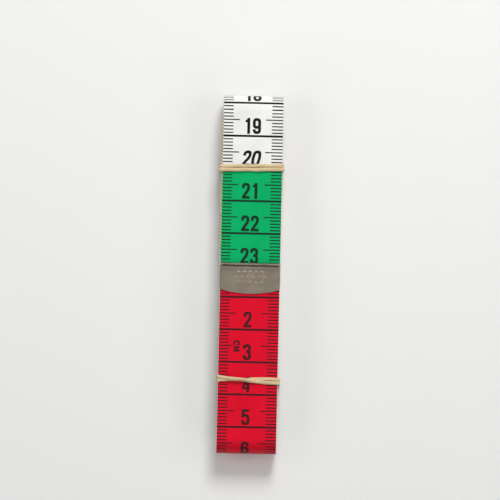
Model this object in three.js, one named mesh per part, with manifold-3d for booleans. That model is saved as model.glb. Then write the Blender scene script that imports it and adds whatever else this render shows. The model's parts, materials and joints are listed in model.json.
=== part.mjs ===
// A cloth tape measure as it is sold: a long printed strip wound flat, turn on turn, with a folded metal
// ferrule on each end and two rubber bands, each doubled, round the winding.
// Millimetres, +Z up. The winding lies on its broad side, its length along Y and the tape's width along X.
// The origin is under the middle of the winding, on the surface that the bands rest on.

import * as THREE from 'three';
import { mergeVertices } from 'three/addons/utils/BufferGeometryUtils.js';
import Module from 'manifold-3d';

const wasm = await Module();
wasm.setup();

// The tape
const tapeLength = 1500;
const tapeWidth = 18.5;
const tapeThickness = 0.25;

// The winding
const packLength = 109.7; // over the outside of the end bends
const coreSlack = 0.16; // how much wider the innermost bend is than the ferrule in it needs
const freeEndY = 3.4; // where the outer end lies on top of the winding
const bendSteps = 16;

// The metal ferrules
const ferruleLength = 9.2; // at the middle of its bowed edge
const ferruleBow = 1.3; // how much shorter it is along its sides
const ferruleCornerRadius = 0.6;
const sheetThickness = 0.25;
const gripClearance = 0.04; // between the sheet and the tape inside it
const layClearance = 0.13; // between a ferrule and the turn that it lies on
const bowSteps = 18;
const foldSteps = 8;
const cornerSteps = 4;

// The rubber bands
const strandWidth = 0.95;
const strandThickness = 0.65;
const strandChamfer = 0.18;
const strandGap = 0.42; // between the two strands of a doubled band
const bandClearance = 0.3; // between a band and the winding that it holds
const upperBandY = 32.9;
const lowerBandY = -32.4;
const lowerBandTilt = -0.035; // the lower band lies a little askew, as a slope across the tape
const crossingSteps = 24;
// Where each band crosses itself, in shares of the straight run on that side of the winding
const upperCrossing = { side: 'left', centre: 0.5, half: 0.2, ramp: 0.26 };
const lowerCrossing = { side: 'top', centre: 0.45, half: 0.17, ramp: 0.14 };

// The free end, which peels up from the winding beside the lower band
const peelClearance = 0.8; // from the band's edge to the line where the tape starts to lift
const peelGap = 0.3; // between the lifting stretch and the wound one

// Colours and finishes
const printedRed = new THREE.MeshStandardMaterial({ color: 0xd8102f, roughness: 0.45, metalness: 0 });
const printedWhite = new THREE.MeshStandardMaterial({ color: 0xf0efeb, roughness: 0.45, metalness: 0 });
const nickel = new THREE.MeshStandardMaterial({ color: 0x9a9288, roughness: 0.35, metalness: 1 });
const rubber = new THREE.MeshStandardMaterial({ color: 0xd9bf8c, roughness: 0.7, metalness: 0 });

// Sizes that follow from those above
const ferruleHalf = tapeThickness / 2 + gripClearance + sheetThickness;
const pitch = tapeThickness / 2 + ferruleHalf + layClearance; // from one turn to the next
const coreRadius = pitch / 2 + coreSlack; // of the tape's middle line in the innermost bend
const halfWidth = tapeWidth / 2;
const bandWidth = 2 * strandWidth + strandGap;
const strandSpacing = strandWidth + strandGap;
const bandReach = bandClearance + strandThickness / 2; // from the winding to a strand's middle
const tapeEndInset = sheetThickness + gripClearance; // from the ferrule's outer edge to the tape's own end
const tailRoom = ferruleLength + layClearance; // straight tape that a ferrule needs
const weldDistance = 1e-4;

// Solids and booleans

function solidOf(geometry) {
  const bare = geometry.clone();
  for (const name of Object.keys(bare.attributes)) {
    if (name !== 'position') bare.deleteAttribute(name);
  }
  const merged = mergeVertices(bare, weldDistance);
  return new wasm.Manifold(new wasm.Mesh({
    numProp: 3,
    vertProperties: new Float32Array(merged.attributes.position.array),
    triVerts: new Uint32Array(merged.index.array),
  }));
}

function geometryOf(solid) {
  const mesh = solid.getMesh();
  const geometry = new THREE.BufferGeometry();
  geometry.setAttribute('position', new THREE.BufferAttribute(mesh.vertProperties, 3));
  geometry.setIndex(new THREE.BufferAttribute(mesh.triVerts, 1));
  geometry.computeVertexNormals();
  return geometry;
}

function indexedGeometry(points, faces) {
  const geometry = new THREE.BufferGeometry();
  geometry.setFromPoints(points);
  geometry.setIndex(faces);
  geometry.computeVertexNormals();
  return geometry;
}

function piece(name, geometry, material) {
  const mesh = new THREE.Mesh(geometry, material);
  mesh.name = name;
  return mesh;
}

// A row of sections, alike in their corners, joined into one body: closed in a ring or capped at both ends
function skin(rings, closed) {
  const sides = rings[0].length;
  const faces = [];
  const spans = closed ? rings.length : rings.length - 1;
  for (let i = 0; i < spans; i++) {
    const here = i * sides;
    const next = ((i + 1) % rings.length) * sides;
    for (let j = 0; j < sides; j++) {
      const k = (j + 1) % sides;
      faces.push(here + j, next + k, next + j, here + j, here + k, next + k);
    }
  }
  if (!closed) {
    const last = (rings.length - 1) * sides;
    for (let j = 1; j < sides - 1; j++) {
      faces.push(0, j + 1, j, last, last + j, last + j + 1);
    }
  }
  return indexedGeometry(rings.flat(), faces);
}

// Least clear distance between stretches of one body that lie apart along it, measured on the corner lines of
// its sections
function leastGap(rings, apart, closed) {
  const run = closed ? [...rings, rings[0]] : rings;
  const along = [0];
  for (let i = 1; i < run.length; i++) along.push(along[i - 1] + run[i][0].distanceTo(run[i - 1][0]));
  const total = along.at(-1);
  const edge = new THREE.Line3();
  const nearest = new THREE.Vector3();
  let least = Infinity;
  for (let i = 0; i < rings.length; i++) {
    for (let j = 1; j < run.length; j++) {
      const between = Math.min(Math.abs(along[i] - along[j]), Math.abs(along[i] - along[j - 1]));
      if (Math.min(between, closed ? total - between : between) < apart) continue;
      for (const point of rings[i]) {
        for (let k = 0; k < run[j].length; k++) {
          edge.set(run[j - 1][k], run[j][k]).closestPointToPoint(point, true, nearest);
          least = Math.min(least, nearest.distanceTo(point));
        }
      }
    }
  }
  return least.toFixed(2);
}

// The winding's middle line, in the plane of Y and Z

// Bends are counted from the outside. Each one is half a pitch smaller than the one before it.
function bendRadius(bends, core, k) {
  return core + (bends - 1 - k) * pitch / 2;
}

// The bends at the foot, the -Y end, turn about one line, and those at the head about another
function footLine(bends, core) {
  return tapeThickness / 2 + bendRadius(bends, core, 0) - packLength / 2;
}

function headLine(bends, core) {
  return packLength / 2 - tapeThickness / 2 - bendRadius(bends, core, 1);
}

function straightLength(bends, core) {
  return headLine(bends, core) - footLine(bends, core);
}

// Length of tape from the outer end to where the last straight stretch begins
function lengthBeforeTail(bends, core) {
  let length = freeEndY - tapeEndInset - footLine(bends, core);
  for (let k = 0; k < bends; k++) length += Math.PI * bendRadius(bends, core, k);
  return length + (bends - 1) * straightLength(bends, core);
}

// Length of tape that fills the winding up to the end of its last straight stretch
function fullLength(bends, core) {
  return lengthBeforeTail(bends, core) + straightLength(bends, core) - tapeEndInset - layClearance;
}

// The tape's length sets the number of bends. An end that would come to lie in a bend is drawn back onto the
// straight before it by a wider core.
function planWinding() {
  const wound = tapeLength - 2 * tapeEndInset;
  let bends = 1;
  let core = coreRadius;
  while (fullLength(bends, core) < wound) bends += 1;
  if (wound - lengthBeforeTail(bends, core) < tailRoom) {
    bends -= 1;
    const growth = fullLength(bends, core + 1) - fullLength(bends, core);
    core += (wound - fullLength(bends, core)) / growth;
  }
  return { bends, core, tail: wound - lengthBeforeTail(bends, core) };
}

const winding = planWinding();
const outerRadius = bendRadius(winding.bends, winding.core, 0);
const undersideZ = strandThickness + bandClearance; // the winding's lowest face
const outerBottomZ = undersideZ + tapeThickness / 2;
const outerTopZ = outerBottomZ + 2 * outerRadius;
const secondTopZ = outerTopZ - pitch; // the turn under the free end
const peelY = lowerBandY + bandWidth / 2 + Math.abs(lowerBandTilt) * halfWidth + peelClearance;

// Stations along the middle line, each a point and the direction that faces out of the winding
function windingStations(fromY) {
  const stations = [{ y: fromY, z: outerTopZ, ny: 0, nz: 1 }];
  const foot = { y: footLine(winding.bends, winding.core), z: outerTopZ - outerRadius };
  const head = {
    y: headLine(winding.bends, winding.core),
    z: outerBottomZ + bendRadius(winding.bends, winding.core, 1),
  };
  for (let k = 0; k < winding.bends; k++) {
    const atFoot = k % 2 === 0;
    const radius = bendRadius(winding.bends, winding.core, k);
    for (let i = 0; i <= bendSteps; i++) {
      const turn = Math.PI * i / bendSteps;
      const ny = atFoot ? -Math.sin(turn) : Math.sin(turn);
      const nz = atFoot ? Math.cos(turn) : -Math.cos(turn);
      const centre = atFoot ? foot : head;
      stations.push({ y: centre.y + radius * ny, z: centre.z + radius * nz, ny, nz });
    }
  }
  const last = stations.at(-1);
  stations.push({ ...last, y: last.y - Math.sign(last.y) * winding.tail });
  return stations;
}

function tapeSections(stations) {
  return stations.map(({ y, z, ny, nz }) => {
    const half = tapeThickness / 2;
    const out = [y + ny * half, z + nz * half];
    const inn = [y - ny * half, z - nz * half];
    return [
      new THREE.Vector3(-halfWidth, ...out),
      new THREE.Vector3(-halfWidth, ...inn),
      new THREE.Vector3(halfWidth, ...inn),
      new THREE.Vector3(halfWidth, ...out),
    ];
  });
}

const woundStations = windingStations(peelY - peelGap / 2);
const innerEnd = woundStations.at(-1);

// The ferrule: a strip of sheet metal folded over the tape's end and pressed flat on it. Its outer edge is on
// the X axis, the tape comes out of it towards -Y, and the tape's middle is at Z zero.

function foldedSheet() {
  const shape = new THREE.Shape();
  const inside = ferruleHalf - sheetThickness;
  shape.moveTo(-ferruleLength, -ferruleHalf);
  shape.lineTo(-ferruleHalf, -ferruleHalf);
  shape.absarc(-ferruleHalf, 0, ferruleHalf, -Math.PI / 2, Math.PI / 2, false);
  shape.lineTo(-ferruleLength, ferruleHalf);
  shape.lineTo(-ferruleLength, inside);
  shape.lineTo(-ferruleHalf, inside);
  shape.absarc(-ferruleHalf, 0, inside, Math.PI / 2, -Math.PI / 2, true);
  shape.lineTo(-ferruleLength, -inside);
  shape.closePath();
  const settings = { depth: tapeWidth, bevelEnabled: false, curveSegments: foldSteps };
  const yzx = new THREE.Matrix4().makeBasis(
    new THREE.Vector3(0, 1, 0),
    new THREE.Vector3(0, 0, 1),
    new THREE.Vector3(1, 0, 0),
  );
  return new THREE.ExtrudeGeometry(shape, settings).applyMatrix4(yzx).translate(-halfWidth, 0, 0);
}

// Seen from above: rounded corners, and the edge that lies on the tape bowed outwards
function ferruleOutline() {
  const bowRadius = (halfWidth ** 2 + ferruleBow ** 2) / (2 * ferruleBow);
  const bowAngle = Math.asin(halfWidth / bowRadius);
  const corner = ferruleCornerRadius;
  const shape = new THREE.Shape();
  shape.moveTo(-halfWidth, ferruleBow - ferruleLength);
  const down = -Math.PI / 2;
  shape.absarc(0, bowRadius - ferruleLength, bowRadius, down - bowAngle, down + bowAngle, false);
  shape.lineTo(halfWidth, -corner);
  shape.absarc(halfWidth - corner, -corner, corner, 0, Math.PI / 2, false);
  shape.lineTo(corner - halfWidth, 0);
  shape.absarc(corner - halfWidth, -corner, corner, Math.PI / 2, Math.PI, false);
  shape.closePath();
  const depth = 4 * ferruleHalf;
  const settings = { depth, bevelEnabled: false, curveSegments: bowSteps };
  return new THREE.ExtrudeGeometry(shape, settings).translate(0, 0, -depth / 2);
}

const ferruleGeometry = geometryOf(solidOf(foldedSheet()).intersect(solidOf(ferruleOutline())));

// The rubber bands

// The winding's four sides in the plane of X and Z, in order from the one named. A strand lies bandReach out
// from each of them and turns round the corners between them.
function windingSides(topZ, firstSide) {
  const sides = {
    top: { from: [-halfWidth, topZ], to: [halfWidth, topZ], nx: 0, nz: 1 },
    right: { from: [halfWidth, topZ], to: [halfWidth, undersideZ], nx: 1, nz: 0 },
    bottom: { from: [halfWidth, undersideZ], to: [-halfWidth, undersideZ], nx: 0, nz: -1 },
    left: { from: [-halfWidth, undersideZ], to: [-halfWidth, topZ], nx: -1, nz: 0 },
  };
  const names = Object.keys(sides);
  const first = names.indexOf(firstSide);
  return names.map((_, i) => sides[names[(first + i) % names.length]]);
}

function smooth(t) {
  const clamped = THREE.MathUtils.clamp(t, 0, 1);
  return clamped * clamped * (3 - 2 * clamped);
}

// One pass round the winding. The strand changes sides at the crossing on the first straight, above the other
// pass or under it.
function bandPass(sides, crossing, over) {
  const points = [];
  const start = over ? strandSpacing / 2 : -strandSpacing / 2;
  const lift = over ? strandThickness + strandGap : 0;
  sides.forEach((side, index) => {
    const steps = index === 0 ? crossingSteps : 1;
    for (let i = 0; i <= steps; i++) {
      const share = i / steps;
      const from = crossing.centre - crossing.half;
      const to = crossing.centre + crossing.half;
      const changed = index === 0 ? smooth((share - from) / (to - from)) : 1;
      const rise = smooth((share - from) / crossing.ramp + 1) * smooth((to - share) / crossing.ramp + 1);
      const out = bandReach + (index === 0 ? lift * rise : 0);
      const x = THREE.MathUtils.lerp(side.from[0], side.to[0], share) + side.nx * out;
      const z = THREE.MathUtils.lerp(side.from[1], side.to[1], share) + side.nz * out;
      points.push({ x, y: start * (1 - 2 * changed), z, nx: side.nx, nz: side.nz });
    }
    for (let i = 1; i < cornerSteps; i++) {
      const turn = Math.PI / 2 * i / cornerSteps;
      const nx = side.nx * Math.cos(turn) + side.nz * Math.sin(turn);
      const nz = side.nz * Math.cos(turn) - side.nx * Math.sin(turn);
      const [x, z] = side.to;
      points.push({ x: x + nx * bandReach, y: -start, z: z + nz * bandReach, nx, nz });
    }
  });
  return points;
}

// A strand's section: across the tape's length, and out from the winding
function strandSection() {
  const wide = strandWidth / 2;
  const thick = strandThickness / 2;
  const cut = strandChamfer;
  return [
    [wide, thick - cut], [wide - cut, thick], [cut - wide, thick], [-wide, thick - cut],
    [-wide, cut - thick], [cut - wide, -thick], [wide - cut, -thick], [wide, cut - thick],
  ];
}

// A doubled band is one unbroken ring that goes round the winding twice
function rubberBand(name, y, topZ, crossing, tilt) {
  const sides = windingSides(topZ, crossing.side);
  const path = [...bandPass(sides, crossing, false), ...bandPass(sides, crossing, true)];
  path.forEach((p) => { p.y += tilt * p.x; });
  const points = path.map((p) => new THREE.Vector3(p.x, p.y, p.z));
  const section = strandSection();
  const rings = path.map((p, i) => {
    const out = new THREE.Vector3(p.nx, 0, p.nz);
    return section.map(([across, away]) => points[i].clone()
      .addScaledVector(out, away)
      .add(new THREE.Vector3(0, across, 0)));
  });
  const apart = 4 * strandSpacing;
  console.log(`${name}: least gap between its strands ${leastGap(rings, apart, true)} mm`);
  const band = piece(name, skin(rings, true), rubber);
  band.position.y = y;
  return band;
}

// The assembly

const woundSections = tapeSections(woundStations);
const innerBendLength = Math.PI * (winding.core + tapeThickness / 2);
const turnGap = leastGap(woundSections, 2 * innerBendLength, false);
console.log(`tape_winding: ${winding.bends} bends, least gap between its turns ${turnGap} mm`);

const pack = new THREE.Group();
pack.add(piece('tape_winding', skin(woundSections, false), printedWhite));
const innerFerrule = piece('inner_end_ferrule', ferruleGeometry, nickel);
const innerFacing = winding.bends % 2 === 0 ? -1 : 1;
innerFerrule.position.set(0, innerEnd.y + innerFacing * tapeEndInset, innerEnd.z);
innerFerrule.rotation.z = innerFacing < 0 ? Math.PI : 0;
pack.add(innerFerrule);

const freeEnd = new THREE.Group();
freeEnd.position.set(0, 0, outerTopZ);
const looseStations = [freeEndY - tapeEndInset, peelY + peelGap / 2].map((y) => ({ y, z: 0, ny: 0, nz: 1 }));
freeEnd.add(piece('tape_free_end', skin(tapeSections(looseStations), false), printedRed));
const outerFerrule = piece('outer_end_ferrule', ferruleGeometry, nickel);
outerFerrule.position.y = freeEndY;
freeEnd.add(outerFerrule);

const upperTopZ = secondTopZ + tapeThickness / 2;
const lowerTopZ = outerTopZ + tapeThickness / 2;
const upperBand = rubberBand('upper_rubber_band', upperBandY, upperTopZ, upperCrossing, 0);
const lowerBand = rubberBand('lower_rubber_band', lowerBandY, lowerTopZ, lowerCrossing, lowerBandTilt);

const tapeMeasure = new THREE.Group();
tapeMeasure.name = 'cloth_tape_measure';
tapeMeasure.add(pack, freeEnd, upperBand, lowerBand);

export default tapeMeasure;
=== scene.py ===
# Cloth tape measure, wound flat, with metal ends and two doubled rubber bands

import bpy
import json
import math
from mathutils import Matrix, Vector


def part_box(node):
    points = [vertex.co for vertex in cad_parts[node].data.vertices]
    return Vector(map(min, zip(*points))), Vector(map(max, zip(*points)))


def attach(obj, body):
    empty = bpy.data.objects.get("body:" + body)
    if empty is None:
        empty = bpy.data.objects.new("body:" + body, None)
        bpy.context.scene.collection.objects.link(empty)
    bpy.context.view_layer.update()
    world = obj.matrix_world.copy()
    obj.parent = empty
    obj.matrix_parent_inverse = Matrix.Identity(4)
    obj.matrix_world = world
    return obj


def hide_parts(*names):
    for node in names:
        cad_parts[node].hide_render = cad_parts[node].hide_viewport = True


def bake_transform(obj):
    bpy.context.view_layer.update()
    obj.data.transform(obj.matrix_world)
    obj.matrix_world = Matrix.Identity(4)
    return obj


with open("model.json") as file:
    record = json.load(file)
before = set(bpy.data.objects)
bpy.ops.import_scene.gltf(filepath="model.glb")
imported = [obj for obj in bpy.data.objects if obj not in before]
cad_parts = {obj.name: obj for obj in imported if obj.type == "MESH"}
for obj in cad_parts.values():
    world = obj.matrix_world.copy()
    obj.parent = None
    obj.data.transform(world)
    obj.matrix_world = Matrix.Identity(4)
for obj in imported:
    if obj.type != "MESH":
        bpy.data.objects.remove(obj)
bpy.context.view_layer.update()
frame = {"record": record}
bpy.ops.object.select_all(action="DESELECT")
mm = 0.001
cm = 0.01
mergeGap = 0.001 * mm  # points closer than this are one
smoothAngle = math.radians(30)  # edges sharper than this stay sharp


# Small helpers

def smooth(t):
    t = min(max(t, 0.0), 1.0)
    return t * t * (3 - 2 * t)


def ramp(value, ends):
    return smooth((value - ends[0]) / (ends[1] - ends[0]))


def between(ends, share):
    return ends[0] + (ends[1] - ends[0]) * smooth(share)


def waveSum(place, waves):  # each with a height, radians to a metre, and a start
    return sum(height * math.sin(rate * place + start) for height, rate, start in waves)


def linear(colour):  # from the 0 to 255 values of a colour picker
    shares = [c / 255 for c in colour]
    return [c / 12.92 if c < 0.04045 else ((c + 0.055) / 1.055) ** 2.4 for c in shares] + [1.0]


def pick(*objects):  # selects these alone, the last one active
    bpy.ops.object.select_all(action="DESELECT")
    for one in objects:
        one.select_set(True)
    bpy.context.view_layer.objects.active = objects[-1]


def addObject(name, data):
    made = bpy.data.objects.new(name, data)
    bpy.context.collection.objects.link(made)
    return made


def applyAll(piece):
    pick(piece)
    for modifier in list(piece.modifiers):
        bpy.ops.object.modifier_apply(modifier=modifier.name)


def faceOutwards(piece, mergeWithin=0.0):
    pick(piece)
    bpy.ops.object.mode_set(mode="EDIT")
    bpy.ops.mesh.select_all(action="SELECT")
    if mergeWithin:
        bpy.ops.mesh.remove_doubles(threshold=mergeWithin)
    bpy.ops.mesh.normals_make_consistent(inside=False)
    bpy.ops.object.mode_set(mode="OBJECT")


def meshFromCurve(name, curve):
    drawn = addObject(name, curve)
    pick(drawn)
    bpy.ops.object.convert(target="MESH")
    piece = bpy.context.object
    faceOutwards(piece, mergeGap)
    return piece


# Materials

noiseSpan = (0.3, 0.7)  # where most of a noise's values lie


def newMaterial(name, colour):
    material = bpy.data.materials.new(name)
    material.use_nodes = True
    shader = material.node_tree.nodes["Principled BSDF"]
    shader.inputs["Base Color"].default_value = linear(colour)
    return material, material.node_tree, shader


def addNode(tree, kind, values=None, **settings):
    node = tree.nodes.new(kind)
    for key, value in settings.items():
        setattr(node, key, value)
    for key, value in (values or {}).items():
        node.inputs[key].default_value = value
    return node


def objectCoords(tree):
    return addNode(tree, "ShaderNodeTexCoord").outputs["Object"]


def tapeCoords(tree):  # centimetres across and along the tape
    return addNode(tree, "ShaderNodeUVMap", uv_map="tapeScale").outputs["UV"]


def addNoise(tree, coords, scale, detail=3.0):
    noise = addNode(tree, "ShaderNodeTexNoise", {"Scale": scale, "Detail": detail})
    tree.links.new(coords, noise.inputs["Vector"])
    return noise.outputs["Fac"]


def addDrawnNoise(tree, coords, scales, detail):  # drawn out, with a scale for each axis
    mapping = addNode(tree, "ShaderNodeMapping", {"Scale": scales})
    tree.links.new(coords, mapping.inputs["Vector"])
    return addNoise(tree, mapping.outputs["Vector"], 1.0, detail)


def addRange(tree, source, ends, span=noiseSpan):
    limits = {"From Min": span[0], "From Max": span[1], "To Min": ends[0], "To Max": ends[1]}
    spread = addNode(tree, "ShaderNodeMapRange", limits)
    tree.links.new(source, spread.inputs["Value"])
    return spread.outputs["Result"]


def varyRoughness(tree, shader, source, ends):
    tree.links.new(addRange(tree, source, ends), shader.inputs["Roughness"])


def varyColour(tree, shader, source, first, second):
    tint = addNode(tree, "ShaderNodeValToRGB")
    for stop, place, colour in zip(tint.color_ramp.elements, noiseSpan, (first, second)):
        stop.position = place
        stop.color = linear(colour)
    tree.links.new(source, tint.inputs["Fac"])
    tree.links.new(tint.outputs["Color"], shader.inputs["Base Color"])


def addBump(tree, shader, height, strength, distance):
    bump = addNode(tree, "ShaderNodeBump", {"Strength": strength, "Distance": distance})
    tree.links.new(height, bump.inputs["Height"])
    tree.links.new(bump.outputs["Normal"], shader.inputs["Normal"])


cloth = {
    "threadPitch": 0.55 * mm,
    "weave": (0.35, 0.015 * mm),  # strength and depth of the bump
    "roughness": (0.4, 0.54),
    "gloss": 0.12,  # a dull coat
    "mottle": (1.3, 5.0),  # scale and detail of the noise
    "mottleShade": 0.95,
    "scuffScale": 6.0,
    "coats": {
        "red": (226, 8, 42),
        "white": (240, 240, 236),
        "green": (1, 175, 101),
        "yellow": (240, 207, 110),
        "blue": (40, 110, 190),
    },
    "inks": {
        "red": (66, 22, 28),
        "white": (22, 21, 22),
        "green": (18, 44, 32),
        "yellow": (40, 34, 20),
        "blue": (20, 26, 44),
    },
    "inkRoughness": (0.36, 0.52),
    "inkPatchScale": 2500.0,
    "inkPatchLight": 1.25,
    "cutEdge": (236, 232, 220),
    "cutRoughness": 0.8,
    "cutShade": 0.86,
    "cutUnevenness": 2.5,
    "cutBump": (0.3, 0.03 * mm),
}


def shaded(colour, share):
    return tuple(c * share for c in colour)


threadScale = math.pi * mm / cloth["threadPitch"]  # of a wave on coordinates in centimetres


def addThreads(tree, coords, direction, distortion=0.0):
    wave = addNode(tree, "ShaderNodeTexWave", {"Scale": threadScale, "Distortion": distortion},
                   wave_type="BANDS", bands_direction=direction)
    tree.links.new(coords, wave.inputs["Vector"])
    return wave.outputs["Fac"]


def weaveHeight(tree, coords):  # threads over and under
    waves = [addThreads(tree, coords, direction) for direction in ("X", "Y")]
    crossed = addNode(tree, "ShaderNodeMath", operation="MULTIPLY")
    tree.links.new(waves[0], crossed.inputs[0])
    tree.links.new(waves[1], crossed.inputs[1])
    return crossed.outputs["Value"]


def coatMaterial(colour):
    base = cloth["coats"][colour]
    material, tree, shader = newMaterial(colour + " coated cloth", base)
    shader.inputs["Specular IOR Level"].default_value = cloth["gloss"]
    coords = tapeCoords(tree)
    mottle = addNoise(tree, coords, *cloth["mottle"])
    varyColour(tree, shader, mottle, shaded(base, cloth["mottleShade"]), base)
    varyRoughness(tree, shader, addNoise(tree, coords, cloth["scuffScale"]), cloth["roughness"])
    addBump(tree, shader, weaveHeight(tree, coords), *cloth["weave"])
    return material


def inkMaterial(colour):
    base = cloth["inks"][colour]
    material, tree, shader = newMaterial("ink on " + colour, base)
    shader.inputs["Specular IOR Level"].default_value = cloth["gloss"]
    patchy = addNoise(tree, objectCoords(tree), cloth["inkPatchScale"])
    varyColour(tree, shader, patchy, base, shaded(base, cloth["inkPatchLight"]))
    varyRoughness(tree, shader, patchy, cloth["inkRoughness"])
    return material


def cutEdgeMaterial():
    base = cloth["cutEdge"]
    material, tree, shader = newMaterial("cut cloth edge", base)
    shader.inputs["Roughness"].default_value = cloth["cutRoughness"]
    threads = addThreads(tree, tapeCoords(tree), "Y", cloth["cutUnevenness"])
    varyColour(tree, shader, threads, shaded(base, cloth["cutShade"]), base)
    addBump(tree, shader, threads, *cloth["cutBump"])
    return material


nickel = {
    "light": (166, 154, 139),
    "dark": (150, 138, 124),
    "cloudScale": 300.0,
    "brushing": (60.0, 2500.0, 2500.0),
    "brushDetail": 2.0,
    "brushBump": (0.12, 0.01 * mm),
    "roughness": (0.26, 0.42),
}


def nickelMaterial():
    material, tree, shader = newMaterial("satin nickel plate", nickel["light"])
    shader.inputs["Metallic"].default_value = 1.0
    coords = objectCoords(tree)
    lines = addDrawnNoise(tree, coords, nickel["brushing"], nickel["brushDetail"])
    cloud = addNoise(tree, coords, nickel["cloudScale"])
    varyColour(tree, shader, cloud, nickel["dark"], nickel["light"])
    varyRoughness(tree, shader, lines, nickel["roughness"])
    addBump(tree, shader, lines, *nickel["brushBump"])
    return material


latex = {
    "light": (226, 207, 168),
    "dark": (194, 165, 122),
    "streaks": (250.0, 2200.0, 1400.0),
    "streakDetail": 4.0,
    "streakBump": (0.5, 0.06 * mm),
    "dustScale": 900.0,
    "roughness": (0.45, 0.7),
    "lightInside": 0.25,  # how much light goes through the skin
    "lightRadius": (1.0, 0.6, 0.3),
    "lightDepth": 0.4 * mm,
}


def latexMaterial():
    material, tree, shader = newMaterial("natural latex", latex["light"])
    shader.inputs["Subsurface Weight"].default_value = latex["lightInside"]
    shader.inputs["Subsurface Radius"].default_value = latex["lightRadius"]
    shader.inputs["Subsurface Scale"].default_value = latex["lightDepth"]
    coords = objectCoords(tree)
    streaks = addDrawnNoise(tree, coords, latex["streaks"], latex["streakDetail"])
    varyColour(tree, shader, streaks, latex["dark"], latex["light"])
    varyRoughness(tree, shader, addNoise(tree, coords, latex["dustScale"]), latex["roughness"])
    addBump(tree, shader, streaks, *latex["streakBump"])
    return material


coats = {colour: coatMaterial(colour) for colour in cloth["coats"]}
inks = {colour: inkMaterial(colour) for colour in cloth["inks"]}
cutEdge = cutEdgeMaterial()
nickelPlate = nickelMaterial()
naturalLatex = latexMaterial()
print("materials:", len(bpy.data.materials))


# The winding: where a point of the tape lies, by its distance along the scale

tape = {
    "length": 1.5,
    "thickness": 0.42 * mm,
    "pitch": 0.67 * mm,  # from one turn to the next
    "bends": 14,
    "bendStep": math.radians(6),
    "leastStep": 0.03 * mm,  # between rows of points
    "startsAt": 2.05 * mm,  # the tape's own end, inside the metal
    "edge": 0.1 * mm,  # its cut edges are a little rounded
    "ripple": 0.05 * mm,  # the hidden turns aren't quite even
    "rippleWaves": ((1.0, 97, 0), (0.6, 223, 1.3)),  # heights as shares
    "drift": -0.36 * mm,  # and lie a little to the left near the head
    "jitter": ((0.07 * mm, 29, 0),),  # and from side to side
    "bow": 0.05 * mm,  # the face is crowned across
    "headStretch": 1.1,  # the bends at the head are looser
    "hiddenFrom": (270 * mm, 380 * mm),  # along the scale, where this sets in
    "driftFrom": (-6 * mm, 12 * mm),
    "driftFades": (46.5 * mm, 52 * mm),
    "decade": 10 * cm,  # has one colour
    "decades": ("red", "white", "green", "white", "yellow", "white", "blue", "white",
                "red", "white", "green", "white", "yellow", "white", "blue"),
}
windingLow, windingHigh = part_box("tape_winding")
freeLow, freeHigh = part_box("tape_free_end")
solidHalf = (freeHigh.z - freeLow.z) / 2
halfWidth = windingHigh.x
outerRadius = (windingHigh.z - windingLow.z) / 2 - solidHalf
topZ = windingHigh.z - solidHalf
bottomZ = windingLow.z + solidHalf
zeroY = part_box("outer_end_ferrule")[1].y


def bendRadius(k):
    return outerRadius - k * tape["pitch"] / 2


footY = windingLow.y + solidHalf + bendRadius(0)
headY = windingHigh.y - solidHalf - bendRadius(1)


def layOutTurns():  # straights and bends in order, with where each starts along the tape
    turns = [("straight", 0, 0.0)]
    s = zeroY - footY
    for k in range(tape["bends"]):
        turns.append(("bend", k, s))
        s += math.pi * bendRadius(k)
        turns.append(("straight", k + 1, s))
        s += headY - footY
    return turns


turns = layOutTurns()


def windAt(s):  # the middle of the tape, and the way that its printed face looks
    kind, k, start = next((turn for turn in reversed(turns) if turn[2] <= s), turns[0])
    gone = s - start
    onTop = k % 2 == 0
    if kind == "straight" and onTop:
        return (headY if k else zeroY) - gone, topZ - k / 2 * tape["pitch"], 0.0, 1.0
    if kind == "straight":
        return footY + gone, bottomZ + (k - 1) / 2 * tape["pitch"], 0.0, -1.0
    angle = gone / bendRadius(k)
    if onTop:
        ny, nz = -math.sin(angle), math.cos(angle)
        return footY + bendRadius(k) * ny, topZ - bendRadius(0) + bendRadius(k) * nz, ny, nz
    ny, nz = math.sin(angle), -math.cos(angle)
    return headY + bendRadius(k) * ny, bottomZ + bendRadius(1) + bendRadius(k) * nz, ny, nz


def driftAt(s, y):
    lean = tape["drift"] * ramp(y, tape["driftFrom"]) * (1 - ramp(y, tape["driftFades"]))
    return ramp(s, tape["hiddenFrom"]) * (lean + waveSum(s, tape["jitter"]))


def rippleAt(s):
    most = sum(height for height, rate, start in tape["rippleWaves"])
    return ramp(s, tape["hiddenFrom"]) * tape["ripple"] * waveSum(s, tape["rippleWaves"]) / most


def onTape(s, x, out):
    y, z, ny, nz = windAt(s)
    away = out + rippleAt(s) - tape["bow"] * (x / halfWidth) ** 2
    drift = driftAt(s, y)
    y += ny * away
    if y > headY:
        y = headY + (y - headY) * tape["headStretch"]
    return Vector((x + drift, y, z + nz * away))


# The tape itself, with its lines as faces of its printed sides

scale = {
    "tickHalf": 0.18 * mm,
    "lineHalf": 0.32 * mm,  # at each centimetre
    "leftTick": 3.1 * mm,  # lengths from the tape's edge
    "leftShort": 4.0 * mm,  # the one beside the unit mark
    "shortAt": 25,  # millimetres from zero
    "leftFive": 5.05 * mm,
    "rightTick": 3.5 * mm,
    "rightFive": 5.4 * mm,
    "inked": {  # which columns of the face, from the left, each kind of line covers
        "centimetre": (0, 1, 2, 3, 4, 5),
        "five": (0, 1, 2, 4, 5),
        "short": (0, 1, 4, 5),
        "tick": (0, 5),
    },
}
faceEdge = halfWidth - tape["edge"]
columns = (-faceEdge, scale["leftTick"] - halfWidth, scale["leftShort"] - halfWidth,
           scale["leftFive"] - halfWidth, halfWidth - scale["rightFive"],
           halfWidth - scale["rightTick"], faceEdge)
colourNames = list(cloth["coats"])


def lineKind(count):
    if count % 10 == 0:
        return "centimetre"
    if count == scale["shortAt"]:
        return "short"
    return "five" if count % 5 == 0 else "tick"


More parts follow.
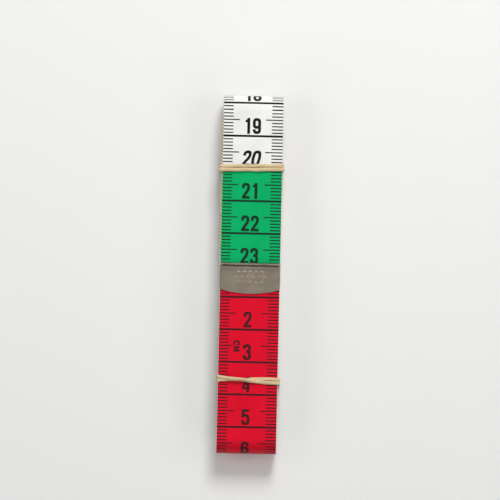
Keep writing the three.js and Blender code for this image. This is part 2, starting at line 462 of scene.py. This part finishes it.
def lineHalf(count):
    return scale["lineHalf"] if lineKind(count) == "centimetre" else scale["tickHalf"]


def tapeStations(first, last):
    stations = [first, last]
    for count in range(math.ceil(first / mm), math.floor(last / mm) + 1):
        stations += [count * mm - lineHalf(count), count * mm + lineHalf(count)]
    for kind, k, start in turns:
        if kind == "bend":
            steps = math.ceil(math.pi / tape["bendStep"])
            stations += [start + math.pi * bendRadius(k) * i / steps for i in range(steps + 1)]
    stations = sorted(s for s in stations if first <= s <= last)
    kept = [first]
    for s in stations:
        if s - kept[-1] > tape["leastStep"]:
            kept.append(s)
    kept[-1] = last
    return kept


def isInk(s, column):
    count = round(s / mm)
    onLine = abs(s - count * mm) <= lineHalf(count)
    return onLine and column in scale["inked"][lineKind(count)]


def colourAt(s):
    return tape["decades"][min(int(s / tape["decade"]), len(tape["decades"]) - 1)]


def coatSlot(s, column):  # five coats, then the ink on each
    return colourNames.index(colourAt(s)) + (len(colourNames) if isInk(s, column) else 0)


def tapeSection():  # printed face from left to right, edge, back from right to left, edge
    half = tape["thickness"] / 2
    low = half - tape["edge"]
    face = [(x, half) for x in columns]
    back = [(x, -half) for x in reversed(columns)]
    return face + [(halfWidth, low), (halfWidth, -low)] + back + [(-halfWidth, -low), (-halfWidth, low)]


def makeTape(name, first, last):
    stations = tapeStations(first, last)
    section = tapeSection()
    around, across = len(section), len(columns) - 1
    backFirst = across + 3  # after the three faces of a cut edge
    edgeSlot = 2 * len(colourNames)
    points = [onTape(s, x, out) for s in stations for x, out in section]
    faces, slots = [], []
    for i in range(len(stations) - 1):
        s = (stations[i] + stations[i + 1]) / 2
        a, b = around * i, around * (i + 1)
        for c in range(around):
            following = (c + 1) % around
            faces.append((a + c, b + c, b + following, a + following))
            if c < across:
                slots.append(coatSlot(s, c))
            elif backFirst <= c < backFirst + across:
                slots.append(coatSlot(tape["length"] - s, backFirst + across - 1 - c))
            else:
                slots.append(edgeSlot)
    lastRing = around * (len(stations) - 1)
    faces += [list(range(around)), [lastRing + c for c in reversed(range(around))]]
    slots += [edgeSlot, edgeSlot]
    mesh = bpy.data.meshes.new(name)
    mesh.from_pydata(points, [], faces)
    for material in (*coats.values(), *inks.values(), cutEdge):
        mesh.materials.append(material)
    mesh.polygons.foreach_set("material_index", slots)
    uvs = mesh.uv_layers.new(name="tapeScale")
    for loop in mesh.loops:
        ring, place = divmod(loop.vertex_index, around)
        uvs.data[loop.index].uv = (section[place][0] / cm, stations[ring] / cm)
    piece = addObject(name, mesh)
    pick(piece)
    bpy.ops.object.shade_smooth_by_angle(angle=smoothAngle)
    return piece


joints = frame["record"]["behaviour"]["joints"]
hinge = next(joint for joint in joints if joint["name"] == "free_end_lift")["pos_m"]
lowerBandLow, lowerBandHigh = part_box("lower_rubber_band")
upperBandLow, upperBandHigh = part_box("upper_rubber_band")
bandRise = 0.38 * mm  # the bands lie this much nearer the head
seamS = zeroY - (lowerBandLow.y + lowerBandHigh.y) / 2 - bandRise  # under the lower band
liftBend = {"before": 3 * mm, "length": 12 * mm}  # a stretch of tape from below the hinge: how far before it, and how long
bendFrom = Vector(hinge) - Vector((0, liftBend["before"], 0))

freeTape = makeTape("printed_tape_free_end", tape["startsAt"], seamS)
woundTape = makeTape("printed_tape_winding", seamS, tape["length"] - tape["startsAt"])
print("tape:", len(freeTape.data.polygons) + len(woundTape.data.polygons), "faces")


# Numerals: strokes in shares of the space between the outer strokes' middles

numeral = {
    "height": 4.9 * mm,
    "width": 2.5 * mm,
    "stroke": 0.87 * mm,
    "gap": 0.45 * mm,
    "aboveLine": 0.66 * mm,
    "middle": {1: -0.45 * mm, 2: -0.38 * mm, 3: -0.38 * mm},  # by how many figures there are
    "leadingOne": 0.27 * mm,  # a 1 in front stands closer
    "ink": 0.03 * mm,
    "reverseRise": 0.01 * mm,  # the middle of the reverse face is flatter than its crown
    "slant": 0.2,  # on the full tens
    "cuts": 10,  # across, so that it can bend with the tape
    "curveSteps": 4,  # between stops
}
roundTop = ((0, 0.83), (0.12, 0.955), (0.5, 1), (0.88, 0.955), (1, 0.83))


def turned(stops):  # by half a turn
    return tuple((1 - x, 1 - y) for x, y in stops)


roundFoot = turned(roundTop)
ringTop = ((0, 0.43), (0.12, 0.555), (0.5, 0.6), (0.88, 0.555), (1, 0.43), (1, 0.3))
ringOf6 = ringTop + roundFoot + ((0, 0.3),)
armOf6 = ((1, 0.75),) + tuple(reversed(roundTop)) + ((0, 0.5), (0, 0.3))

strokes = {  # each stroke's kind, its share of the full weight, and the stops on its middle line
    "0": [("loop", 1.0, roundTop + roundFoot)],
    "1": [("line", 1.0, ((0.6, -0.11), (0.6, 1.11))),
          ("line", 0.78, ((0.04, 0.8), (0.62, 1.03)))],
    "2": [("curve", 1.0, ((0, 0.7),) + roundTop
           + ((0.99, 0.69), (0.83, 0.52), (0.45, 0.3), (0.1, 0.06))),
          ("line", 0.94, ((-0.25, 0), (1.25, 0)))],
    "3": [("curve", 1.0, ((0, 0.74),) + roundTop + ((0.97, 0.68), (0.8, 0.58), (0.42, 0.55))),
          ("curve", 1.0, ((0.36, 0.54), (0.84, 0.5), (1, 0.36)) + roundFoot + ((0, 0.26),))],
    "4": [("line", 1.0, ((0.83, -0.11), (0.83, 1.11))),
          ("line", 0.75, ((-0.25, 0.22), (1.22, 0.22))),
          ("line", 0.8, ((0.68, 1.03), (-0.1, 0.24)))],
    "5": [("line", 0.94, ((-0.2, 1), (1.15, 1))),
          ("line", 1.0, ((0.06, 1.08), (0.02, 0.455))),
          ("curve", 1.0, ((0.04, 0.53), (0.2, 0.61), (0.5, 0.64), (0.86, 0.57), (1, 0.42))
           + roundFoot + ((0, 0.26),))],
    "6": [("loop", 1.0, ringOf6), ("curve", 1.0, armOf6)],
    "7": [("line", 0.94, ((-0.25, 1), (1.2, 1))),
          ("curve", 1.0, ((1.06, 0.96), (0.62, 0.5), (0.38, -0.11)))],
    "8": [("loop", 1.0, ((0.06, 0.81), (0.19, 0.95), (0.5, 1), (0.81, 0.95), (0.94, 0.81),
                         (0.94, 0.72), (0.82, 0.59), (0.5, 0.54), (0.18, 0.59), (0.06, 0.72))),
          ("loop", 1.0, ((0, 0.35), (0.15, 0.49), (0.5, 0.54), (0.85, 0.49), (1, 0.35)) + roundFoot)],
    "9": [("loop", 1.0, turned(ringOf6)), ("curve", 1.0, turned(armOf6))],
    "C": [("curve", 1.0, ((1, 0.7), (0.86, 0.92), (0.5, 1), (0.12, 0.84), (0, 0.5),
                          (0.12, 0.16), (0.5, 0), (0.86, 0.08), (1, 0.3)))],
    "M": [("line", 0.95, ((0, -0.13), (0, 1.13))),
          ("line", 0.95, ((1, -0.13), (1, 1.13))),
          ("line", 0.8, ((0.04, 1.1), (0.5, 0.12))),
          ("line", 0.8, ((0.96, 1.1), (0.5, 0.12)))],
}


def makePen(stroke):  # a flat nib, drawn along each stroke
    outline = bpy.data.curves.new("pen", "CURVE")
    spline = outline.splines.new("POLY")
    corners = ((-1, -1), (1, -1), (1, 1), (-1, 1))
    spline.points.add(len(corners) - 1)
    for point, (x, y) in zip(spline.points, corners):
        point.co = (x * stroke / 2, y * numeral["ink"] / 2, 0, 1)
    spline.use_cyclic_u = True
    return addObject("pen", outline)


def drawStroke(kind, weight, stops, size):
    stroke = size["stroke"]
    wide, high = size["width"] - stroke, size["height"] - stroke
    pen = makePen(stroke * weight)
    curve = bpy.data.curves.new("stroke", "CURVE")
    curve.dimensions = "2D"
    curve.resolution_u = numeral["curveSteps"]
    curve.bevel_mode = "OBJECT"
    curve.bevel_object = pen
    curve.use_fill_caps = True
    spline = curve.splines.new("BEZIER")
    spline.bezier_points.add(len(stops) - 1)
    for point, (x, y) in zip(spline.bezier_points, stops):
        point.co = (stroke / 2 + x * wide, stroke / 2 + y * high, 0)
        point.handle_left_type = point.handle_right_type = "VECTOR" if kind == "line" else "AUTO"
    spline.use_cyclic_u = kind == "loop"
    drawn = meshFromCurve("stroke", curve)
    bpy.data.objects.remove(pen)
    return drawn


def drawFigure(figure, size):
    parts = [drawStroke(*drawn, size) for drawn in strokes[figure]]
    whole = parts[0]
    for part in parts[1:]:
        joined = whole.modifiers.new("join", "BOOLEAN")
        joined.operation = "UNION"
        joined.object = part
        applyAll(whole)
        bpy.data.objects.remove(part)
    pick(whole)
    bpy.ops.object.mode_set(mode="EDIT")
    for i in range(1, numeral["cuts"]):
        bpy.ops.mesh.select_all(action="SELECT")
        bpy.ops.mesh.bisect(plane_co=(0, size["height"] * i / numeral["cuts"], 0), plane_no=(0, 1, 0))
    bpy.ops.object.mode_set(mode="OBJECT")
    mesh = whole.data
    bpy.data.objects.remove(whole)
    mesh.name = "figure " + figure
    return mesh


unitMark = {
    "height": 2.1 * mm,
    "width": 1.65 * mm,
    "stroke": 0.47 * mm,
    "gap": 0.22 * mm,
    "at": 23.32 * mm,  # along the scale, which it follows
    "x": -3.65 * mm,
}
figures = {f: drawFigure(f, numeral) for f in "0123456789"}
letters = {f: drawFigure(f, unitMark) for f in "CM"}


def inkPiece(name, mesh, place, colour):
    printed = addObject(name, mesh.copy())
    for vertex in printed.data.vertices:
        vertex.co = place(*vertex.co)
    printed.data.materials.clear()
    printed.data.materials.append(inks[colour])
    return printed


def printNumber(number, reverse):
    text = str(number)
    advance = numeral["width"] + numeral["gap"]
    first = numeral["middle"][len(text)] - (len(text) * advance - numeral["gap"]) / 2
    slant = numeral["slant"] if number % 10 == 0 else 0
    base = number * cm - numeral["aboveLine"]
    face = tape["thickness"] / 2
    colour = colourAt(base - numeral["height"] / 2)
    printed = []
    for i, f in enumerate(text):
        left = first + i * advance
        if f == "1" and i + 1 < len(text):
            left += numeral["leadingOne"]

        def place(gx, gy, gz):
            x = left + gx + slant * (gy - numeral["height"] / 2)
            if reverse:
                return onTape(tape["length"] - base + gy, x, -face - gz - numeral["reverseRise"])
            return onTape(base - gy, x, face + gz)
        printed.append(inkPiece("figure", figures[f], place, colour))
    return printed


def printUnitMark():
    face = tape["thickness"] / 2
    printed = []
    for i, letter in enumerate("CM"):
        start = unitMark["at"] + i * (unitMark["width"] + unitMark["gap"])

        def place(gx, gy, gz):
            return onTape(start + gx, unitMark["x"] - unitMark["height"] / 2 + gy, face + gz)
        printed.append(inkPiece("letter", letters[letter], place, "red"))
    return printed


def joinPrint(name, printed):
    pick(*printed)
    bpy.ops.object.join()
    piece = bpy.context.object
    piece.name = name
    faceOutwards(piece)
    bpy.ops.object.shade_smooth_by_angle(angle=smoothAngle)
    return piece


shownNumbers = {"free": range(2, 4), "wound": range(4, 30), "freeReverse": range(147, 150)}
freePrint = [p for n in shownNumbers["free"] for p in printNumber(n, False)]
freePrint += [p for n in shownNumbers["freeReverse"] for p in printNumber(n, True)]
freeNumerals = joinPrint("numerals_free_end", freePrint + printUnitMark())
woundPrint = [p for n in shownNumbers["wound"] for p in printNumber(n, False)]
woundNumerals = joinPrint("numerals_winding", woundPrint)
print("numerals:", len(freeNumerals.data.polygons) + len(woundNumerals.data.polygons), "faces")


# Metal ends: sheet folded over the tape's end and pressed flat, with a bead along the fold and grip pips

ferrule = {
    "half": 0.43 * mm,  # from the tape's middle to the outside of the plate
    "sheet": 0.19 * mm,
    "ahead": 0.47 * mm,  # of the scale's zero
    "longer": 0.22 * mm,  # than its solid
    "foldArc": math.radians(40),  # the fold is pressed to a flat arc, with this much on each side
    "bead": 0.32 * mm,  # it stands above the plate
    "beadEnds": 0.9 * mm,  # towards the sides it sinks
    "beadSink": 0.6,  # by this share
    "crest": (0.22 * mm, 0.05 * mm),  # from the fold to where the bead falls steeply, and its own slope
    "crease": (0.78 * mm, 0.18 * mm),  # where it has fallen, and how far the plate is pressed in there
    "flatFrom": 2.95 * mm,
    "wobble": 0.05 * mm,  # of the crest and the crease, which were pressed by hand
    "wobbleWaves": ((1.0, 1100, 0), (0.6, 2700, 1)),
    "wobbleFades": ((0.15 * mm, 0.6 * mm), (1.4 * mm, 3.0 * mm)),
    "bow": 1.3 * mm,
    "corner": 0.6 * mm,
    "rimCorner": 0.55 * mm,
    "turnDown": (0.4 * mm, 0.05 * mm, 0.13 * mm),  # of the sides: how wide, then how deep left and right
    "pipHeight": 0.2 * mm,
    "pipRadius": 0.64 * mm,
    "pipRows": ((2.9 * mm, 5), (4.5 * mm, 6), (6.1 * mm, 5)),  # from the fold, and how many
    "pipSpacing": 1.8 * mm,
    "bevel": 0.04 * mm,
    "bevelFrom": math.radians(75),  # the sharpness of the edges that get it
    "smoothAngle": math.radians(40),  # takes in the bead and the crease
    "shares": (0.16, 0.3, 0.36, 0.46),  # of the rows: where back, fold, crest and slope end
    "outerGrid": (148, 150),  # faces across and along
    "innerGrid": (40, 50),
}


def pipRise(x, gone):
    rise = 0.0
    for row, count in ferrule["pipRows"]:
        for i in range(count):
            away = math.hypot(x - (i - (count - 1) / 2) * ferrule["pipSpacing"], gone - row)
            if away < ferrule["pipRadius"]:
                rise += ferrule["pipHeight"] * math.cos(math.pi / 2 * away / ferrule["pipRadius"]) ** 2
    return rise


def sheetProfile(t, length, bead):  # from the edge on the back, round the fold, to the edge on the face
    half, arc = ferrule["half"], ferrule["foldArc"]
    nose = (half + bead / 2) * math.tan(arc / 2)
    back, fold, crest, crease = ferrule["shares"]
    crestEnd, crestFall = ferrule["crest"]
    creaseEnd, dip = ferrule["crease"]
    if t < back:
        return length - (length - nose) * t / back, -half
    if t < fold:
        angle = arc * (2 * (t - back) / (fold - back) - 1)
        radius = (half + bead / 2) / math.sin(arc)
        return radius * (1 - math.cos(angle)), bead / 2 + radius * math.sin(angle)
    if t < crest:
        share = (t - fold) / (crest - fold)
        return nose + crestEnd * share, half + bead - crestFall * share
    if t < crease:
        share = (t - crest) / (crease - crest)
        fallen = crestFall + (bead - crestFall + dip) * share
        return nose + crestEnd + (creaseEnd - crestEnd) * share, half + bead - fallen
    share = (t - crease) / (1 - crease)
    gone = nose + creaseEnd + (length - nose - creaseEnd) * share
    return gone, half - dip * (1 - ramp(gone, (nose + creaseEnd, ferrule["flatFrom"])))


def wobbleAt(x, gone):
    nearFold, onPlate = ferrule["wobbleFades"]
    wavy = waveSum(x, ferrule["wobbleWaves"])
    return ferrule["wobble"] * wavy * ramp(gone, nearFold) * (1 - ramp(gone, onPlate))


def turnedDown(x):  # at the plate's sides
    wide, left, right = ferrule["turnDown"]
    return (right if x > 0 else left) * ramp(abs(x), (halfWidth - wide, halfWidth))


def cornerCut(reach, radius):  # how much a round corner takes off, at this distance from its start
    return radius - math.sqrt(radius * radius - min(max(reach, 0.0), radius) ** 2)


def makeFerrule(name, node, facing, grid, bead, pips):
    low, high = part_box(node)
    middleZ = (low.z + high.z) / 2
    foldY = (high.y if facing > 0 else low.y) + facing * ferrule["ahead"]
    longest = high.y - low.y + ferrule["longer"]
    corner, rimCorner = ferrule["corner"], ferrule["rimCorner"]
    bpy.ops.mesh.primitive_grid_add(x_subdivisions=grid[0], y_subdivisions=grid[1], size=2)
    piece = bpy.context.object
    piece.name = name
    for vertex in piece.data.vertices:
        u, t = vertex.co.x, (vertex.co.y + 1) / 2
        x = u * halfWidth
        length = longest - ferrule["bow"] * u * u - cornerCut(abs(x) - halfWidth + rimCorner, rimCorner)
        sunk = ferrule["beadSink"] * ramp(abs(x), (halfWidth - ferrule["beadEnds"], halfWidth))
        gone, rise = sheetProfile(t, length, bead * (1 - sunk))
        x = u * (halfWidth - cornerCut(corner - gone, corner))
        if t > ferrule["shares"][1]:  # past the fold
            rise += pipRise(x, gone) * pips - turnedDown(x)
            gone += wobbleAt(x, gone)
        vertex.co = (x, foldY - facing * gone, middleZ + facing * rise)
    thick = piece.modifiers.new("sheet", "SOLIDIFY")
    thick.thickness = ferrule["sheet"]
    thick.offset = -1
    edge = piece.modifiers.new("edge", "BEVEL")
    edge.width = ferrule["bevel"]
    edge.segments = 2
    edge.limit_method = "ANGLE"
    edge.angle_limit = ferrule["bevelFrom"]
    applyAll(piece)
    bpy.ops.object.shade_smooth_by_angle(angle=ferrule["smoothAngle"])
    piece.data.materials.append(nickelPlate)
    return piece


outerEnd = makeFerrule("outer_metal_end", "outer_end_ferrule", 1, ferrule["outerGrid"],
                       ferrule["bead"], True)
innerEnd = makeFerrule("inner_metal_end", "inner_end_ferrule", -1, ferrule["innerGrid"],
                       0.0, False)  # plain, as it is hidden
print("metal ends:", len(outerEnd.data.polygons) + len(innerEnd.data.polygons), "faces")


# Rubber bands: each one strand that goes round twice and crosses itself once

strand = {
    "width": 1.14 * mm,
    "fullness": 1.22,  # squarer than round
    "sectionSteps": 4,  # in each quarter
    "touch": 0.02 * mm,
    "step": 0.35 * mm,
    "cornerStep": 15,  # degrees
    "underPhase": 2.1,  # the strand below rolls out of step with the one above
    "overLift": 0.9,  # of its thickness, where it lies on the other
    "crossEase": 1.5,
}
upperBand = {
    "y": (upperBandLow.y + upperBandHigh.y) / 2 + bandRise,
    "inside": (-9.5 * mm, 9.05 * mm),  # its left and right
    "thickness": 0.74 * mm,
    "spacing": 1.14 * mm,  # between the strands' middles
    "slope": 0.025,
    "crossingSide": "left",
    "crossing": (0.3 * mm, 8.5 * mm),  # from where to where along that side
    "together": {"left": (0.97, 0.97), "top": (0.97, 1.0), "right": (1.0, 1.0),
                 "bottom": (1.0, 0.97)},  # shares of the spacing, where each side starts and ends
    "swell": 0.07,  # the strands part a little between the corners
    "wander": 0.05 * mm,
    "roll": 0.5,  # radians, to and fro on each wave
    "wave": 7.0 * mm,
    "sizes": (1.06, 0.92),  # of the two strands
    "thinning": 0.42,  # where they cross
    "twist": 0.0,  # and how far each turns over there
    "lean": {},
}
lowerBand = {
    "y": (lowerBandLow.y + lowerBandHigh.y) / 2 + bandRise,
    "inside": (-9.0 * mm, 9.4 * mm),
    "thickness": 0.62 * mm,  # stretched thinner
    "spacing": 1.2 * mm,
    "slope": -0.03,
    "crossingSide": "top",
    "crossing": (-1.5 * mm, 14.0 * mm),
    "together": {"top": (1.15, 0.92), "right": (0.92, 0.92), "bottom": (0.92, 1.15),
                 "left": (1.15, 1.15)},
    "swell": 0.0,
    "wander": 0.03 * mm,
    "roll": 0.25,
    "wave": 6.0 * mm,
    "sizes": (1.0, 0.94),
    "thinning": -0.12,
    "twist": 0.5,
    "lean": {"right": (0.0, -0.6 * mm), "bottom": (-0.6 * mm, 0.0)},  # towards the foot
}


def windingSides(inside, topFace):  # each side's start, end and way out
    left, right = inside
    low = bottomZ - tape["thickness"] / 2
    return {
        "top": ((left, topFace), (right, topFace), (0, 1)),
        "right": ((right, topFace), (right, low), (1, 0)),
        "bottom": ((right, low), (left, low), (0, -1)),
        "left": ((left, low), (left, topFace), (-1, 0)),
    }


def crossOver(along, ends):  # from one side of the band to the other, slowly in the middle
    share = 1 - 2 * min(max((along - ends[0]) / (ends[1] - ends[0]), 0.0), 1.0)
    return math.copysign(abs(share) ** strand["crossEase"], share)


def strandAt(band, name, side, over, sizeEnds, share):  # x, y, z, tilt and size, partway along a side
    (x0, z0), (x1, z1), (nx, nz) = side
    length = math.hypot(x1 - x0, z1 - z0)
    loose = math.sin(math.pi * share) ** 2  # strands lie as they like between the corners
    phase = 2 * math.pi * share * length / band["wave"]
    phase += 0.0 if over else strand["underPhase"]
    y = band["spacing"] / 2 * between(band["together"][name], share)
    y *= 1 + band["swell"] * loose
    thick = between(sizeEnds, share)
    lift, tilt = 0.0, band["roll"] * loose * math.sin(phase)
    if name == band["crossingSide"]:
        y *= crossOver(share * length, band["crossing"])
        near = 1 - smooth(abs(2 * y) / strand["width"])
        thick *= 1 - band["thinning"] * near
        tilt += band["twist"] * (near if over else -near)
        lift = strand["overLift"] * near * thick * band["thickness"] if over else 0.0
    else:
        y = -y
    across, through = strand["width"] * math.sin(tilt), band["thickness"] * math.cos(tilt)
    out = strand["touch"] + lift + thick * math.hypot(across, through) / 2
    y = y if over else -y
    y += band["wander"] * loose * math.cos(phase) + between(band["lean"].get(name, (0, 0)), share)
    return x0 + (x1 - x0) * share + nx * out, y, z0 + (z1 - z0) * share + nz * out, tilt, thick


def bandPath(band, topFace):
    sides = windingSides(band["inside"], topFace)
    names = list(sides)
    first = names.index(band["crossingSide"])
    path = []
    for over in (True, False):
        size, nextSize = band["sizes"] if over else reversed(band["sizes"])
        for name in names[first:] + names[:first]:
            start, end, (nx, nz) = sides[name]
            steps = round(math.dist(start, end) / strand["step"])
            sizeEnds = (size, nextSize if name == "bottom" else size)
            size = sizeEnds[1]
            for i in range(steps + 1):
                x, y, z, tilt, thick = strandAt(band, name, sides[name], over, sizeEnds, i / steps)
                path.append((x, band["y"] + y + band["slope"] * x, z, tilt, thick))
            out = strand["touch"] + thick * band["thickness"] / 2
            for turn in range(strand["cornerStep"], 90, strand["cornerStep"]):
                c, s = math.cos(math.radians(turn)), math.sin(math.radians(turn))
                x, z = end[0] + (nx * c + nz * s) * out, end[1] + (nz * c - nx * s) * out
                path.append((x, band["y"] + y + band["slope"] * x, z, 0.0, thick))
    return path


def makeBand(name, band, topFace):
    bpy.ops.curve.primitive_bezier_circle_add(radius=1)
    section = bpy.context.object
    section.data.resolution_u = strand["sectionSteps"]
    for point in section.data.splines[0].bezier_points:
        left, right = point.handle_left - point.co, point.handle_right - point.co
        point.handle_left = point.co + left * strand["fullness"]
        point.handle_right = point.co + right * strand["fullness"]
    section.scale = (strand["width"] / 2, band["thickness"] / 2, 1)
    pick(section)
    bpy.ops.object.transform_apply(location=False, rotation=False, scale=True)
    curve = bpy.data.curves.new(name, "CURVE")
    curve.dimensions = "3D"
    curve.twist_mode = "MINIMUM"
    curve.bevel_mode = "OBJECT"
    curve.bevel_object = section
    path = bandPath(band, topFace)
    spline = curve.splines.new("POLY")
    spline.points.add(len(path) - 1)
    for point, (x, y, z, tilt, size) in zip(spline.points, path):
        point.co = (x, y, z, 1)
        point.tilt = tilt
        point.radius = size
    spline.use_cyclic_u = True
    piece = meshFromCurve(name, curve)
    bpy.ops.object.shade_smooth()
    bpy.data.objects.remove(section)
    piece.data.materials.clear()
    piece.data.materials.append(naturalLatex)
    return piece


outerFace = topZ + tape["thickness"] / 2
upperRubber = makeBand("upper_doubled_band", upperBand, outerFace - tape["pitch"])
lowerRubber = makeBand("lower_doubled_band", lowerBand, outerFace)
print("bands:", len(upperRubber.data.polygons) + len(lowerRubber.data.polygons), "faces")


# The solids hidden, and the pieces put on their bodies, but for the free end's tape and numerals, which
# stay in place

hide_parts("tape_free_end")
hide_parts("tape_winding")
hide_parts("outer_end_ferrule")
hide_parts("inner_end_ferrule")
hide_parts("upper_rubber_band")
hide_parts("lower_rubber_band")
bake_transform(freeTape)
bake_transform(freeNumerals)
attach(woundTape, "pack")
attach(woundNumerals, "pack")
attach(outerEnd, "free_end")
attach(innerEnd, "pack")
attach(upperRubber, "upper_band")
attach(lowerRubber, "lower_band")


# Floor, light and camera

stage = {
    "floor": (236, 236, 234),
    "floorSize": 1.6,
    "floorRoughness": (0.75, 0.85),
    "floorGrain": 40.0,
    "sky": (0.025, 0.345),  # strength at the horizon and overhead
    "skySpan": (0.3, 1.0),  # of a direction's height
}
lamps = (  # where, size and watts, and the rays that pass it by
    ("top lamp", (0.0, 0.0, 2.6), 1.3, 2.6, ()),
    ("head lamp", (0.1, 0.55, 0.55), 0.25, 4.5, ("glossy",)),
    ("head card", (0.1, 0.66, 0.42), 0.8, 2.6, ("diffuse",)),
    ("foot card", (0.0, -0.6, 0.8), 0.6, 0.7, ("diffuse",)),
    ("left card", (-0.45, 0.45, 0.55), 0.25, 0.25, ("diffuse",)),
    ("right card", (0.45, 0.45, 0.55), 0.25, 0.25, ("diffuse",)),
    ("left lamp", (-0.62, 0.1, 0.5), 0.35, 0.8, ()),
    ("right lamp", (0.62, 0.1, 0.45), 0.35, 0.8, ()),
    ("left foot lamp", (-0.5, -0.5, 0.4), 0.35, 0.8, ()),
    ("right foot lamp", (0.5, -0.5, 0.4), 0.35, 0.8, ()),
)
view = {
    "distance": 2.0,  # from the top of the winding
    "width": 153.85 * mm,  # of the picture
    "above": 7.92 * mm,  # the origin, in the picture
    "lean": math.radians(1.29),
}


def makeFloor():
    bpy.ops.mesh.primitive_plane_add(size=stage["floorSize"])
    floor = bpy.context.object
    floor.name = "floor"
    material, tree, shader = newMaterial("pale floor", stage["floor"])
    grain = addNoise(tree, objectCoords(tree), stage["floorGrain"])
    varyRoughness(tree, shader, grain, stage["floorRoughness"])
    floor.data.materials.append(material)


def makeLight():
    world = bpy.data.worlds.new("studio")
    world.use_nodes = True
    tree = world.node_tree
    background = tree.nodes["Background"]
    background.inputs["Color"].default_value = (1, 1, 1, 1)
    height = addNode(tree, "ShaderNodeSeparateXYZ")
    tree.links.new(addNode(tree, "ShaderNodeTexCoord").outputs["Generated"], height.inputs["Vector"])
    glow = addRange(tree, height.outputs["Z"], stage["sky"], stage["skySpan"])
    tree.links.new(glow, background.inputs["Strength"])
    bpy.context.scene.world = world
    for name, where, size, watts, passing in lamps:
        bpy.ops.object.light_add(type="AREA", location=where)
        lamp = bpy.context.object
        lamp.name = name
        lamp.data.size = size
        lamp.data.energy = watts
        for rays in passing:
            setattr(lamp, "visible_" + rays, False)
        # a lamp that reflections pass by would give too little light with this on
        lamp.data.cycles.use_multiple_importance_sampling = "glossy" not in passing
        lamp.rotation_euler = (-Vector(where)).to_track_quat("-Z", "Y").to_euler()


def makeCamera():
    data = bpy.data.cameras.new("camera")
    data.sensor_width = 36
    data.lens = data.sensor_width * view["distance"] / view["width"]
    data.clip_start = 0.01
    camera = addObject("camera", data)
    lean, above = view["lean"], view["above"]
    camera.location = (-math.sin(lean) * above, math.cos(lean) * above, topZ + view["distance"])
    camera.rotation_euler = (0, 0, lean)
    bpy.context.scene.camera = camera


makeFloor()
makeLight()
makeCamera()
bpy.context.scene.view_settings.view_transform = "Standard"
